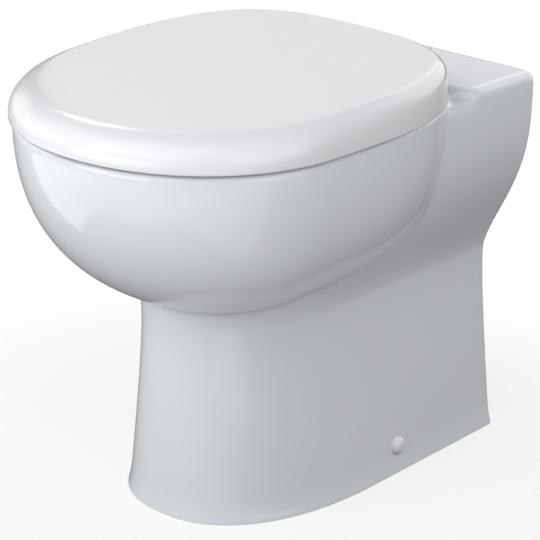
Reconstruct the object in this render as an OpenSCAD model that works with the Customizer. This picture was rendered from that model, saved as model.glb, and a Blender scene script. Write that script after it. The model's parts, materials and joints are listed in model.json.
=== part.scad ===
// Back to wall toilet: a china pan with a wrap-over lid, a seat ring, their hinges and the side fixings.
// Millimetres. X is symmetric, the front faces -Y, the wall face is the +Y end and Z is up from the floor.
// The origin is on the floor, midway between the front of the lid and the wall.

/* [Overall] */
// Front of the lid to the wall
reach = 508; // [490:1:540]
// Height of the rim above the floor
rim_h = 400; // [390:1:420]
// Width of the lid
lid_w = 371; // [360:1:384]

/* [Bowl] */
// How far the lid stands out past the bowl all round
lid_overhang = 3.5; // [2:0.5:6]
// Front of the lid to the widest line of bowl, seat and lid
widest_y = 168; // [155:1:180]
// Widest line to the back of the bowl's own curve
bowl_rear = 278; // [260:1:290]
// Height of the bowl's round part
bowl_h = 190; // [180:1:200]
// How far the bowl's lowest point lies behind its widest line
bowl_drift = 49; // [35:1:60]
// Radius of the rim's outer edge
rim_r = 5; // [2:0.5:8]
// Thickness of the china
china_t = 12; // [9:0.5:14]

/* [Pedestal] */
// Width of the base at the wall
base_w = 221; // [205:1:235]
// Width of the neck at the wall
neck_w = 182; // [170:1:200]
// Height of the neck
neck_h = 182; // [160:1:200]
// How much wider the base is at its round front than at the wall
base_taper = 17; // [5:1:25]
// How much wider the neck is at its round front than at the wall
neck_taper = 9; // [2:1:16]
// Centre of the pedestal's round front to the wall
front_centre = 217; // [200:1:230]
// Length of the round front at the floor
base_front = 181; // [165:1:190]
// Length of the round front at the neck
neck_front = 168; // [155:1:175]
// Extra flare of the last few millimetres at the floor
foot_flare = 2.5; // [0:0.5:5]
// Height of that extra flare
foot_h = 25; // [15:1:40]

/* [Shelf] */
// Width of the block behind the lid
shelf_w = 297; // [285:1:310]
// Depth of the shelf
shelf_d = 107; // [95:1:112]
// Step from the rim up to the shelf
shelf_step = 6; // [3:0.5:8]
// Radius of the shelf's front corners
shelf_corner = 22; // [12:1:30]
// Radius of the shelf's top edges
shelf_edge_r = 12; // [4:0.5:14]
// Height of the curved haunch between shelf and neck
haunch_h = 200; // [190:1:210]
// Thickness of the deck under the hinges
deck_t = 15; // [12:0.5:20]

/* [Basin] */
// Width of the opening in the rim
basin_w = 280; // [260:1:284]
// Front of the opening to its widest line
basin_front = 130; // [120:1:134]
// Rear of the opening to the wall
basin_back = 188; // [185:1:200]
// Height of the overhanging rim
rim_lip_h = 36; // [25:1:45]
// How far the basin wall stands back under the rim
rim_undercut = 7; // [3:0.5:9]
// Thickness of the basin wall
basin_t = 9; // [7:0.5:10]

/* [Trap and pipes] */
// Bore of the trap
trap_bore = 72; // [66:1:76]
// Wall of the trap
trap_t = 10; // [7:0.5:11]
// Depth of the water seal
water_seal = 50; // [40:1:52]
// Height of the soil outlet's centre
outlet_h = 185; // [180:1:192]
// Outer diameter of the outlet spigot
spigot_d = 102; // [98:1:108]
// Length of the outlet spigot
spigot_l = 50; // [40:1:60]
// Wall to the end of the outlet spigot
spigot_gap = 55; // [45:1:60]
// Height of the flush inlet's centre
inlet_h = 345; // [340:1:350]
// Bore of the flush inlet socket
inlet_bore = 55; // [50:0.5:58]
// Depth of the flush inlet socket
inlet_depth = 45; // [35:1:60]
// Bore of the flush passage behind the socket
flush_bore = 40; // [30:1:44]

/* [Seat and lid] */
// Gap between the rim and the lid's lower edge
lid_gap = 4; // [3:0.5:6]
// Height of the lid's top above the rim at the front
lid_front_h = 33; // [31:0.5:38]
// Height of the lid's top above the rim at the hinges
lid_rear_h = 48; // [47:0.5:50]
// Crown of the lid's top
lid_crown = 3; // [0:0.5:5]
// Radius of the lid's shoulder
lid_shoulder = 18; // [14:1:20]
// Wall thickness of the lid
lid_t = 4.5; // [4:0.1:5]
// Space between the lid's wall and the seat
seat_clear = 3; // [2:0.5:5]
// Height of the seat's underside above the rim
seat_lift = 6; // [5:0.5:7]
// Thickness of the seat
seat_t = 16; // [14:0.5:17]
// Width of the hole in the seat
hole_w = 220; // [205:1:230]
// Length of the hole in the seat
hole_l = 244; // [230:1:250]

/* [Hinges] */
// Distance between the two seat fixing holes
hinge_pitch = 155; // [140:1:165]
// Hinge axis to the wall
axis_y = 113; // [111:0.5:115]
// Height of the hinge axis above the rim
axis_h = 34; // [33:0.5:36]
// Seat fixing holes to the wall
stud_y = 143; // [141:1:146]
// Diameter of the hinge pin
pin_d = 6; // [5:0.5:6.5]
// Wall of the bushes on the pin
bush_t = 1.5; // [1:0.1:1.6]
// Outer radius of the lugs that hold the bushes
lug_r = 7; // [6.8:0.1:7.5]
// Width of a lug
lug_w = 12; // [10:0.5:13]
// Width of a hinge bracket
bracket_w = 18; // [14:0.5:20]
// Diameter of the stud
stud_d = 8; // [6:0.5:9]

/* [Side fixings] */
// Height of the side fixings above the floor
fix_h = 27.5; // [25:0.5:32]
// Side fixings to the wall
fix_y = 158; // [120:1:180]
// Diameter of the cover cap
cap_d = 19.5; // [18:0.5:24]
// Height of the cover cap
cap_h = 6; // [5:0.5:8]
// Diameter of the side screw
screw_d = 6; // [5:0.5:7]
// Thickness of the floor bracket
bracket_t = 4; // [3:0.5:5]
// Diameter of the floor screw's hole in the bracket
floor_hole_d = 8; // [6:0.5:9]

/* [Fits] */
// Gap between pieces that rest on each other
seat_gap = 0.3; // [0.2:0.05:0.5]
// Radial clearance of a turning fit
run_fit = 0.06; // [0.03:0.01:0.1]
// Radial clearance of a fixed fit
fixed_fit = 0.02; // [0.01:0.01:0.05]
// Gap between lugs and hinge bracket along the pin
side_gap = 0.6; // [0.4:0.1:1]

/* [Hidden] */

// Heights of the main planes
shelf_z = rim_h + shelf_step;
deck_under = rim_h - deck_t;
lid_low_z = rim_h + lid_gap;
seat_z = rim_h + seat_lift;
seat_top = seat_z + seat_t;
axis_z = rim_h + axis_h;

// Bowl
bowl_w = lid_w - 2 * lid_overhang;
centre_y = -(reach - widest_y);
egg_front = 2.07;
egg_rear = 2.64;
bowl_curve = 2.352;
bowl_tail = 0.344;

// Pedestal and shelf
plinth_front_n = 2.34;
haunch_foot_n = 1.5;
haunch_head_n = 3.5;
flare_n = 1.25;
ledge_z = rim_h - 28;
ledge_top = rim_h - 8;
ledge_draw = 38;
back_corner = 4;

// Basin and trap
well_r = trap_bore / 2 + 4;
trap_bend = trap_bore / 2 + trap_t + 4;
trap_rise = 60;
dip_z = outlet_h - trap_bore - water_seal;
trap_end = [-(spigot_gap + spigot_l), outlet_h];
trap_climb = outlet_h - dip_z - 2 * trap_bend * (1 - cos(trap_rise));
trap_run = trap_climb / sin(trap_rise);
weir_start = trap_end + trap_bend * [-sin(trap_rise), cos(trap_rise) - 1];
dip_end = weir_start - trap_run * [cos(trap_rise), sin(trap_rise)];
well_y = dip_end.x - trap_bend * (1 + sin(trap_rise));
trap_top_z = dip_z + trap_bend;
well_z = trap_top_z + 12;
well_round = 2;
well_drop = 8;
inlet_wall = 7;
lip_clear = 1.5;
trap_stub = 5;
spigot_wall = 8;
basin_rear = -centre_y - basin_back;
basin_draw = 1.5;
basin_rear_n = 2.6;
back_opening_h = rim_h - 138;
back_opening_w = neck_w - 2 * china_t - 2;
shelf_low_z = ledge_z - 4;
plinth_levels = [0, 8, 16, 25, 45, 75, 110, 150, 182, 205, 218, 226, 233, 240, 248, 258, 270, 285, 303,
    325, 350, ledge_z, ledge_z + 5, ledge_z + 10, ledge_z + 15, ledge_top];
hollow_levels = [-1, 25, 75, 130, 182, 218, 233, 248, 270, 303, 350, ledge_z, deck_under];

// Lid
lid_back = 18;
lid_rear_n = 3.3;
lid_rear_y = axis_y - lid_back;
lid_slope = (lid_rear_h - lid_front_h) / (reach - axis_y);
lid_edge_in = 1.5;
lid_edge_share = 0.95;
shoulder_share = 0.85;
crown_shares = [0.35, 0.7];
lid_rear_edge = 6;
skirt_end = -(axis_y + 6);
skirt_rise = 12;
lug_block = 12;
lug_cover = 1;

// Seat
seat_half = lid_w / 2 - lid_t - seat_clear;
seat_front = widest_y - lid_t - seat_clear;
base_r = 11;
seat_rear_y = -(stud_y + base_r + 1);
seat_rear_n = 3.5;
hole_front_w = 55;
hole_n = 2.15;
hole_y = -reach + lid_t + seat_clear + hole_front_w + hole_l / 2;
seat_round = 6;
seat_foot_r = 3;
arm_root = 13;
arm_root_r = seat_t / 2 - 2;
pad_r = 11;
pad_share = 0.25;
pad_angles = [-60, 30];
lid_pad_r = 8;
lid_pad_angles = [-50, 15];
pad_stud_l = 5.6;
seat_pad_stud_r = 4;
lid_pad_stud_r = 3;
stud_hole_extra = 0.4;
stud_hole_l = pad_stud_l + stud_hole_extra;
boss_z = seat_top + 4.5;

// Hinges, on the right side
hinge_x = hinge_pitch / 2;
pin_r = pin_d / 2;
bush_r = pin_r + run_fit + bush_t;
seat_lug_x = hinge_x - bracket_w / 2 - side_gap - lug_w;
lid_lug_x = hinge_x + bracket_w / 2 + side_gap;
pin_end = 1.5;
gasket_t = 1;
bracket_z = rim_h + gasket_t;
bracket_base_t = 5;
post_d = 14;
arm_slope = 4;
eye_r = lug_r - 0.5;
arm_under = axis_z - 5;
arm_top = axis_z + eye_r;
stud_l = 60;
stud_engage = 11;
stud_top = bracket_z + stud_engage;
stud_hole_r = stud_d / 2 + 3;
cone_h = 8;
washer_t = 2;
nut_h = 12;
nut_r = 8;
wing_t = 4;
wing_l = 8;
wing_drop = 4;
wing_root = 2;
cone_r = 12;
cone_in = 11;
cone_top = deck_under - seat_gap;
washer_top = cone_top - cone_h;
stud_clear = 0.3;

// Side fixings, on the right side
fix_x = side_x(-fix_y, fix_h);
spot_depth = 2;
spot_x = fix_x - spot_depth;
spot_clear = 0.4;
sleeve_r = 6;
sleeve_clear = 0.3;
head_r = 6.8;
head_t = 3;
cap_wall = 1.8;
bracket_h = 52;
bracket_l = 44;
foot_w = 42;
bracket_gap = 0.6;
foot_hole_out = 3;
bracket_x = side_x(-(fix_y - bracket_l / 2), bracket_h) - china_t - bracket_gap - bracket_t;
insert_r = 5;
insert_l = 12;
foot_hole_x = bracket_x + bracket_t - foot_w / 2 - foot_hole_out;
cap_r = 4;

// ---------- outlines and profiles ----------

// Egg outline round a widest line at y = centre, with front and rear lengths and roundness of their own
function egg(half, front, rear, n_front, n_rear, centre, steps) = [
    for (i = [0:steps - 1]) egg_at(360 * i / steps, half, front, rear, n_front, n_rear, centre)
];
function egg_at(t, half, front, rear, n_front, n_rear, centre) =
    let (n = sin(t) < 0 ? n_front : n_rear)
    let (len = sin(t) < 0 ? front : rear)
    [half * signed_power(cos(t), 2 / n), centre + len * signed_power(sin(t), 2 / n)];
function signed_power(v, p) = sign(v) * pow(abs(v), p);
function mix(a, b, f) = a + (b - a) * f;
function smooth(f) = let (c = max(0, min(1, f))) c * c * (3 - 2 * c);
function at_height(outline, z) = [for (p = outline) [p.x, p.y, z]];

// Half width of the block and pedestal at the wall, at height z
function half_w(z) = z < neck_h ? flare_w(z) : haunch_w(z);
function flare_w(z) =
    haunch_w(neck_h)
    + (base_w / 2 - foot_flare - haunch_w(neck_h)) * pow(1 - max(z, 0) / neck_h, flare_n)
    + foot_flare * pow(max(0, 1 - max(z, 0) / foot_h), 2);
function haunch_w(z) =
    let (risen = max(0, 1 - (rim_h - min(z, rim_h)) / haunch_h))
    mix(neck_w / 2, shelf_w / 2, 1 - pow(1 - pow(risen, haunch_foot_n), haunch_head_n));

// Half width at the round front's centre line, and the length of that front
function mid_w(z) = half_w(z) + mix(neck_taper, base_taper, pow(max(0, 1 - max(z, 0) / neck_h), 1.2)) / 2
    * (1 - smooth((z - neck_h) / (haunch_h - deck_t)))
    - ledge_draw * smooth((z - ledge_z) / (ledge_top - ledge_z));
function front_l(z) = mix(neck_front, base_front, flare_share(z));
function flare_share(z) = z >= neck_h ? 0 : (flare_w(z) - flare_w(neck_h)) / (flare_w(0) - flare_w(neck_h));
// Half width of the pedestal's side at depth y and height z
function side_x(y, z) = mix(half_w(z), mid_w(z), -y / front_centre);

// Plan of block and pedestal at height z, drawn in by inset
function plinth_plan(z, inset, steps) = concat(
    [
        for (i = [0:steps])
            let (t = 180 + 180 * i / steps)
            [
                (mid_w(z) - inset) * signed_power(cos(t), 2 / plinth_front_n),
                -front_centre + (front_l(z) - inset) * signed_power(sin(t), 2 / plinth_front_n)
            ]
    ],
    corner([half_w(z) - inset, -inset], back_corner, 0),
    corner([-(half_w(z) - inset), -inset], back_corner, 90)
);
// Three points of a rounded corner at p, which starts at the given angle
function corner(p, r, start, steps = 2) = [
    for (i = [0:steps])
        let (a = start + 90 * i / steps)
        let (c = [p.x - r * sign(cos(start + 45)), p.y - r * sign(sin(start + 45))])
        c + r * [cos(a), sin(a)]
];
// Plan of the shelf, drawn in by inset on its front and sides
function shelf_plan(inset) =
    let (x = shelf_w / 2 - inset)
    let (r = max(2, shelf_corner - inset))
    concat(
        corner([x, 0], back_corner, 0),
        corner([-x, 0], back_corner, 90),
        corner([-x, -shelf_d + inset], r, 180, 6),
        corner([x, -shelf_d + inset], r, 270, 6)
    );

// ---------- bodies from outlines ----------

// Closed body through rings with as many points each
module loft(rings) {
    n = len(rings[0]);
    last = len(rings) - 1;
    polyhedron(
        points = [for (r = rings) each r],
        faces = concat(
            [[for (i = [0:n - 1]) i]],
            [for (k = [0:last - 1], i = [0:n - 1]) each band(k, k + 1, i, n)],
            [[for (i = [n - 1:-1:0]) last * n + i]]
        )
    );
}
// Closed tube through rings, the last of which joins the first
module loop_loft(rings) {
    n = len(rings[0]);
    m = len(rings);
    polyhedron(
        points = [for (r = rings) each r],
        faces = [for (k = [0:m - 1], i = [0:n - 1]) each band((k + 1) % m, k, i, n)]
    );
}
function band(k, next, i, n) =
    let (j = (i + 1) % n)
    [[k * n + i, next * n + i, next * n + j], [k * n + i, next * n + j, k * n + j]];

// One smooth body of small facets, at its own size
module moulded() resize([0, 0, 0]) children();
// Draws on the side plane: sketch x runs along Y, sketch y along Z, and thickness along X
module on_side() rotate([90, 0, 90]) children();
// A cylinder along X that starts at p
module bar_x(p, r, l) translate(p) rotate([0, 90, 0]) cylinder(h = l, r = r, $fn = 64);
// A cylinder along Y at height z, between two distances from the wall
module bar_y(z, r, near, far, flats = 96) {
    translate([0, -near, z]) rotate([90, 0, 0]) cylinder(h = far - near, r = r, $fn = flats);
}
// A cylinder that stands at p = [x, y], between two heights
module post(p, r, low, high) translate([p.x, p.y, low]) cylinder(h = high - low, r = r, $fn = 64);
// Moves from wall coordinates to the origin, and mirrors the left piece of a pair
module placed(side = 1) translate([0, reach / 2, 0]) mirror([side < 0 ? 1 : 0, 0, 0]) children();

// ---------- pan ----------

// The round bowl, drawn in by inset
module bowl_form(inset, steps, step_angle) {
    loft(concat(
        [
            for (f = [72:-step_angle:step_angle])
                let (k = pow(cos(f), 2 / bowl_curve))
                bowl_ring(k, inset, rim_h - (bowl_h - inset) * pow(sin(f), 2 / bowl_curve), steps)
        ],
        inset > 0 ? [] : [bowl_ring(1, 0, rim_h - rim_r, steps)],
        inset > 0 ? [bowl_ring(1, inset, deck_under, steps)] : [
            for (a = [30:30:90])
                bowl_ring(1, rim_r * (1 - cos(a)), rim_h - rim_r * (1 - sin(a)), steps)
        ]
    ));
}
function bowl_ring(k, inset, z, steps) = at_height(
    egg(
        (bowl_w / 2 - inset) * k,
        (widest_y - lid_overhang - inset) * k,
        (bowl_rear - inset) * pow(k, bowl_tail),
        egg_front, egg_rear, centre_y + bowl_drift * (1 - k), steps
    ),
    z
);

// Block and pedestal up to the top height, drawn in by inset
module plinth_form(inset, levels, steps) {
    loft([for (z = levels) at_height(plinth_plan(z, inset, steps), z)]);
}

// Raised shelf behind the lid
module shelf_form() {
    loft(concat(
        [at_height(shelf_plan(shelf_w / 2 - half_w(shelf_low_z)), shelf_low_z)],
        [
            for (a = [0:15:90])
                at_height(
                    shelf_plan(shelf_edge_r * (1 - cos(a))),
                    shelf_z - shelf_edge_r * (1 - sin(a))
                )
        ]
    ));
}

// Inside of the basin, grown by wall, from its well up to the rim
module basin_form(wall, steps, levels) {
    lip_z = rim_h - rim_lip_h;
    funnel = lip_z - rim_undercut - well_z;
    draw = rim_r * (1 - cos(45));
    loft(concat(
        [at_height(circle_at([0, well_y], well_r - well_round + wall, steps), well_z - well_drop - wall)],
        [
            for (f = [0:1 / levels:1])
                let (open = pow((1 - cos(180 * f)) / 2, basin_draw))
                basin_ring(open, wall, rim_undercut, well_z + funnel * f, steps)
        ],
        wall > 0 ? [basin_ring(1, wall, rim_undercut, deck_under + 1, steps)] : [
            basin_ring(1, 0, 0, lip_z, steps),
            basin_ring(1, 0, 0, rim_h - rim_r, steps),
            basin_ring(1, 0, draw, rim_h - draw, steps),
            basin_ring(1, 0, rim_r, rim_h, steps),
            basin_ring(1, 0, rim_r, rim_h + 1, steps)
        ]
    ));
}
function circle_at(c, r, steps) = [for (i = [0:steps - 1]) c + arm(r, 360 * i / steps)];
// Basin outline, from the well at open = 0 to the rim opening, let out by back, at open = 1
function basin_ring(open, wall, back, z, steps) = at_height(
    egg(
        wall + mix(well_r, basin_w / 2 + back, open),
        wall + mix(well_r, basin_front + back, open),
        wall + mix(well_r, basin_rear + back, open),
        egg_front, mix(2, basin_rear_n, open), mix(well_y, centre_y, open), steps
    ),
    z
);

// Trap from the well to the outlet, with pipe radius r and flats round it
module trap_form(r, flats) loft([for (p = trap_path()) tube_ring(p[0], p[1], r, flats)]);
// Places on the trap's centre line, each with its direction in the side plane
function trap_path() = concat(
    [[[well_y, well_z], -90]],
    [for (a = [180:15:270 + trap_rise]) [[well_y + trap_bend, trap_top_z] + arm(trap_bend, a), a + 90]],
    [for (a = [90 + trap_rise:-15:90]) [trap_end - [0, trap_bend] + arm(trap_bend, a), a - 90]],
    [[trap_end + [trap_stub, 0], 0]]
);
function arm(r, a) = r * [cos(a), sin(a)];
function tube_ring(p, direction, r, flats) = [
    for (i = [0:flats - 1])
        let (v = arm(r, 360 * i / flats))
        [v.x, p.x + v.y * sin(direction), p.y - v.y * cos(direction)]
];

// The casting without its round bores
module casting() {
    difference() {
        union() {
            bowl_form(0, 60, 6);
            plinth_form(0, plinth_levels, 20);
            shelf_form();
        }
        difference() {
            union() {
                bowl_form(china_t, 36, 12);
                plinth_form(china_t, hollow_levels, 10);
            }
            basin_form(basin_t, 36, 8);
            trap_form(trap_bore / 2 + trap_t, 20);
            bar_y(inlet_h, inlet_bore / 2 + inlet_wall, 1, inlet_depth + inlet_wall, 24);
            bar_y(inlet_h, flush_bore / 2 + inlet_wall, 1, basin_back, 24);
        }
        basin_form(0, 48, 12);
        trap_form(trap_bore / 2, 20);
        translate([-back_opening_w / 2, -china_t - 1, -1])
            cube([back_opening_w, china_t + 2, back_opening_h + 1]);
    }
}

module pan() {
    color("white")
    placed()
    difference() {
        union() {
            moulded() casting();
            bar_y(outlet_h, spigot_d / 2, spigot_gap, spigot_gap + spigot_l - 1);
        }
        bar_y(outlet_h, spigot_d / 2 - spigot_wall, spigot_gap - 1, spigot_gap + spigot_l - trap_t);
        bar_y(outlet_h, trap_bore / 2 + 1, spigot_gap, spigot_gap + spigot_l - 2);
        bar_y(inlet_h, inlet_bore / 2, -1, inlet_depth);
        bar_y(inlet_h, flush_bore / 2, inlet_depth - 1, basin_back - lip_clear);
        for (side = [-1, 1]) {
            post([side * hinge_x, -stud_y], stud_hole_r, deck_under - 1, rim_h + 1);
            mirror([side < 0 ? 1 : 0, 0, 0]) side_bores();
        }
    }
}
// Hole and spot face of a side fixing
module side_bores() {
    bar_x([fix_x - 2 * china_t, -fix_y, fix_h], sleeve_r + fixed_fit, 2 * china_t);
    bar_x([spot_x, -fix_y, fix_h], cap_d / 2 + spot_clear, china_t);
}

// ---------- seat ----------

// Points round the seat's outer edge and round its hole, and between them at a share of the way
function seat_edge(t) = egg_at(
    t, seat_half, seat_front, seat_rear_y - centre_y, egg_front, seat_rear_n, centre_y
);
function hole_edge(t) = egg_at(t, hole_w / 2, hole_l / 2, hole_l / 2, hole_n, hole_n, hole_y);
function seat_at(t, share) = mix(seat_edge(t), hole_edge(t), share);
// Section through the ring: up the outer side, over the top, down the inner side and back below
function seat_section(t) =
    let (w = norm(hole_edge(t) - seat_edge(t)))
    let (bevel = seat_round * (1 - cos(45)))
    [
        for (p = [
            [0, seat_z + seat_foot_r],
            [0, seat_top - seat_round],
            [bevel, seat_top - bevel],
            [seat_round, seat_top],
            [w - seat_round, seat_top],
            [w - bevel, seat_top - bevel],
            [w, seat_top - seat_round],
            [w, seat_z + seat_foot_r],
            [w - seat_foot_r, seat_z],
            [seat_foot_r, seat_z]
        ])
            let (q = seat_at(t, p[0] / w))
            [q.x, q.y, p[1]]
    ];

module seat() {
    color("white")
    placed()
    difference() {
        moulded() {
            loop_loft([for (t = [0:6:354]) seat_section(t)]);
            for (side = [-1, 1]) mirror([side < 0 ? 1 : 0, 0, 0]) seat_lug();
        }
        for (side = [-1, 1]) mirror([side < 0 ? 1 : 0, 0, 0]) {
            bar_x([seat_lug_x - 1, -axis_y, axis_z], bush_r + fixed_fit, lug_w + 2);
            for (t = pad_angles)
                post(seat_at(t, pad_share), seat_pad_stud_r + fixed_fit, seat_z - 1, seat_z + stud_hole_l);
        }
    }
}
// Arm from the back of the ring up to the hinge pin
module seat_lug() {
    translate([seat_lug_x, 0, 0]) on_side() linear_extrude(lug_w) hull() {
        translate([-axis_y, axis_z]) circle(r = lug_r, $fn = 32);
        translate([seat_rear_y - arm_root, seat_z + seat_t / 2]) circle(r = arm_root_r, $fn = 32);
    }
}

// Pad under the seat or the lid, with its stud
module buffer(p, r, stud_r, low, high) {
    color("gainsboro")
    union() {
        post(p, r, low, high);
        post(p, stud_r, high - 1, high + pad_stud_l);
    }
}
module seat_buffer(side, t) placed(side)
    buffer(seat_at(t, pad_share), pad_r, seat_pad_stud_r, rim_h + seat_gap, seat_z);
module lid_buffer(side, t) placed(side)
    buffer(seat_at(t, 0.5), lid_pad_r, lid_pad_stud_r, seat_top + seat_gap, boss_z);

// ---------- lid ----------

// Height of the lid's top, and of its lower edge, which rises behind the hinges
function lid_top(y) = rim_h + lid_front_h + lid_slope * (y + reach);
function lid_low(y) = mix(lid_low_z, lid_top(y) - lid_rear_edge, smooth((y - skirt_end) / skirt_rise));
function lid_edge(t, inset) = egg_at(
    t, lid_w / 2 - inset, widest_y - inset, -lid_rear_y - centre_y - inset, egg_front, lid_rear_n, centre_y
);
// How far a shoulder of radius r has drawn in at a depth below its top
function drawn_in(r, depth) = depth >= r ? 0 : r - sqrt(r * r - pow(r - depth, 2));
// Depth of the lid's surface at t from its top to its lower edge
function lid_depth(t, wall, open) =
    let (y = lid_edge(t, 0).y)
    lid_top(y) - wall - (open ? lid_low(y) : lid_low_z);
// Ring of the lid's outer or inner surface, at angle a of its shoulder
function shoulder_ring(wall, a, open) = [
    for (t = [0:6:354])
        let (r = lid_shoulder - wall)
        let (depth = (1 - sin(a)) * min(r, shoulder_share * lid_depth(t, wall, open)))
        let (p = lid_edge(t, wall + drawn_in(r, depth)))
        [p.x, p.y, lid_top(p.y) - wall - depth]
];
// Ring near the lower edge, at a share of the full depth
function edge_ring(wall, share, inset, open) = [
    for (t = [0:6:354])
        let (depth = share * lid_depth(t, wall, open))
        let (p = lid_edge(t, wall + inset + drawn_in(lid_shoulder - wall, depth)))
        [p.x, p.y, lid_top(lid_edge(t, 0).y) - wall - depth]
];
// Ring of the crowned top, at a share of the way out
function crown_ring(wall, share) = [
    for (t = [0:6:354])
        let (p = mix([0, centre_y], lid_edge(t, lid_shoulder), share))
        [p.x, p.y, lid_top(p.y) - wall + lid_crown * (1 - share * share)]
];
// Rings of the crowned top from the shoulder to the middle
function crown_rings(wall) = [for (i = [len(crown_shares) - 1:-1:0]) crown_ring(wall, crown_shares[i])];

module lid() {
    color("white")
    placed()
    difference() {
        union() {
            moulded() {
                lid_shell();
                intersection() {
                    lid_fill();
                    for (side = [-1, 1]) mirror([side < 0 ? 1 : 0, 0, 0]) lid_lug();
                }
            }
            for (side = [-1, 1], t = lid_pad_angles)
                let (p = seat_at(t, 0.5))
                post([side * p.x, p.y], lid_pad_r, boss_z, lid_top(p.y) - lid_t / 2);
        }
        for (side = [-1, 1]) mirror([side < 0 ? 1 : 0, 0, 0]) {
            bar_x([lid_lug_x - 1, -axis_y, axis_z], bush_r + fixed_fit, lug_w + 2);
            for (t = lid_pad_angles)
                post(seat_at(t, 0.5), lid_pad_stud_r + fixed_fit, boss_z - 1, boss_z + stud_hole_l);
        }
    }
}
module lid_shell() {
    loft(concat(
        [for (k = crown_shares) crown_ring(lid_t, k)],
        [for (a = [90:-30:0]) shoulder_ring(lid_t, a, true)],
        [
            edge_ring(lid_t, 1, 0, true),
            edge_ring(0, 1, lid_edge_in, true),
            edge_ring(0, lid_edge_share, 0, true)
        ],
        [for (a = [0:15:90]) shoulder_ring(0, a, true)],
        crown_rings(0)
    ));
}
// Space that the lugs may fill, just inside the shell's outer face
module lid_fill() {
    loft(concat(
        [edge_ring(lug_cover, 1, 0, false)],
        [for (a = [0:30:90]) shoulder_ring(lug_cover, a, false)],
        crown_rings(lug_cover)
    ));
}
// Eye and block that hang from the lid's underside
module lid_lug() {
    translate([lid_lug_x, 0, 0]) on_side() linear_extrude(lug_w) translate([-axis_y, axis_z]) {
        circle(r = lug_r, $fn = 32);
        translate([-lug_block / 2, 0]) square([lug_block, lid_rear_h - axis_h + lid_crown]);
    }
}

// ---------- hinges ----------

module hinge_bracket(side) {
    post_front = -(stud_y + post_d / 2);
    post_back = post_front + post_d;
    base_top = bracket_z + bracket_base_t;
    color("silver")
    placed(side)
    difference() {
        union() {
            post([hinge_x, -stud_y], base_r, bracket_z, base_top);
            translate([hinge_x - bracket_w / 2, 0, 0]) on_side() linear_extrude(bracket_w) polygon([
                [post_front, base_top - 1],
                [post_front, arm_top - arm_slope],
                [post_front + arm_slope, arm_top],
                [-axis_y, arm_top],
                [-axis_y, arm_under],
                [post_back, arm_under],
                [post_back, base_top - 1]
            ]);
            bar_x([hinge_x - bracket_w / 2, -axis_y, axis_z], eye_r, bracket_w);
        }
        bar_x([hinge_x - bracket_w, -axis_y, axis_z], pin_r + fixed_fit, 2 * bracket_w);
        post([hinge_x, -stud_y], stud_d / 2 + fixed_fit, bracket_z - 1, stud_top + stud_hole_extra);
    }
}
module hinge_pin(side) {
    start = seat_lug_x - pin_end;
    color("silver")
    placed(side)
    bar_x([start, -axis_y, axis_z], pin_r, lid_lug_x + lug_w + pin_end - start);
}
// Bush in a lug that starts at x
module bush(side, x) {
    color("whitesmoke")
    placed(side)
    difference() {
        bar_x([x, -axis_y, axis_z], bush_r, lug_w);
        bar_x([x - 1, -axis_y, axis_z], pin_r + run_fit, lug_w + 2);
    }
}
// Ring round the stud between two heights, whose lower part can be wider
module stud_ring(side, r, low, high, wide_r = 0, wide_top = 0) {
    placed(side)
    difference() {
        union() {
            post([hinge_x, -stud_y], r, low, high);
            if (wide_r > 0) post([hinge_x, -stud_y], wide_r, low, wide_top);
        }
        post([hinge_x, -stud_y], stud_d / 2 + stud_clear, low - 1, high + 1);
    }
}
module hinge_gasket(side) color("dimgray") stud_ring(side, base_r, rim_h, bracket_z);
module hinge_stud(side) {
    color("silver")
    placed(side)
    post([hinge_x, -stud_y], stud_d / 2, stud_top - stud_l, stud_top);
}
module cone_bush(side) {
    color("whitesmoke")
    stud_ring(side, stud_hole_r - seat_gap, cone_top - cone_h, deck_under + cone_in, cone_r, cone_top);
}
module hinge_washer(side) color("silver") stud_ring(side, base_r, washer_top - washer_t, washer_top);
module wing_nut(side) {
    nut_top = washer_top - washer_t;
    color("whitesmoke")
    union() {
        stud_ring(side, nut_r, nut_top - nut_h, nut_top);
        for (turn = [0, 1])
            placed(side)
            translate([hinge_x - wing_t / 2, -stud_y, nut_top - nut_h])
            on_side()
            mirror([turn, 0])
            linear_extrude(wing_t)
            polygon([
                [nut_r - wing_root, 0],
                [nut_r + wing_l, -wing_drop],
                [nut_r + wing_l, nut_h - wing_drop],
                [nut_r - wing_root, nut_h - wing_root]
            ]);
    }
}

// ---------- side fixings ----------

module floor_bracket(side) {
    color("white")
    placed(side)
    difference() {
        union() {
            translate([bracket_x, -fix_y - bracket_l / 2, 0])
                cube([bracket_t, bracket_l, bracket_h]);
            translate([bracket_x + bracket_t - foot_w, -fix_y - bracket_l / 2, 0])
                cube([foot_w, bracket_l, bracket_t]);
        }
        post([foot_hole_x, -fix_y], floor_hole_d / 2, -1, bracket_t + 1);
        bar_x([bracket_x - 1, -fix_y, fix_h], insert_r + fixed_fit, bracket_t + 2);
    }
}
// Round piece along X between two places, with a bore for the side screw
module screw_ring(side, r, start, end, clear) {
    placed(side)
    difference() {
        bar_x([start, -fix_y, fix_h], r, end - start);
        bar_x([start - 1, -fix_y, fix_h], screw_d / 2 + clear, end - start + 2);
    }
}
module bracket_nut(side) {
    end = bracket_x + bracket_t;
    color("whitesmoke")
    screw_ring(side, insert_r, end - insert_l, end, fixed_fit);
}
module screw_sleeve(side) {
    color("whitesmoke")
    screw_ring(side, sleeve_r, bracket_x + bracket_t + fixed_fit, spot_x - fixed_fit, sleeve_clear);
}
module side_screw(side) {
    start = bracket_x + bracket_t - insert_l - 2;
    color("silver")
    placed(side)
    union() {
        bar_x([start, -fix_y, fix_h], screw_d / 2, spot_x - start + 1);
        bar_x([spot_x, -fix_y, fix_h], head_r, head_t);
    }
}
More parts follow.
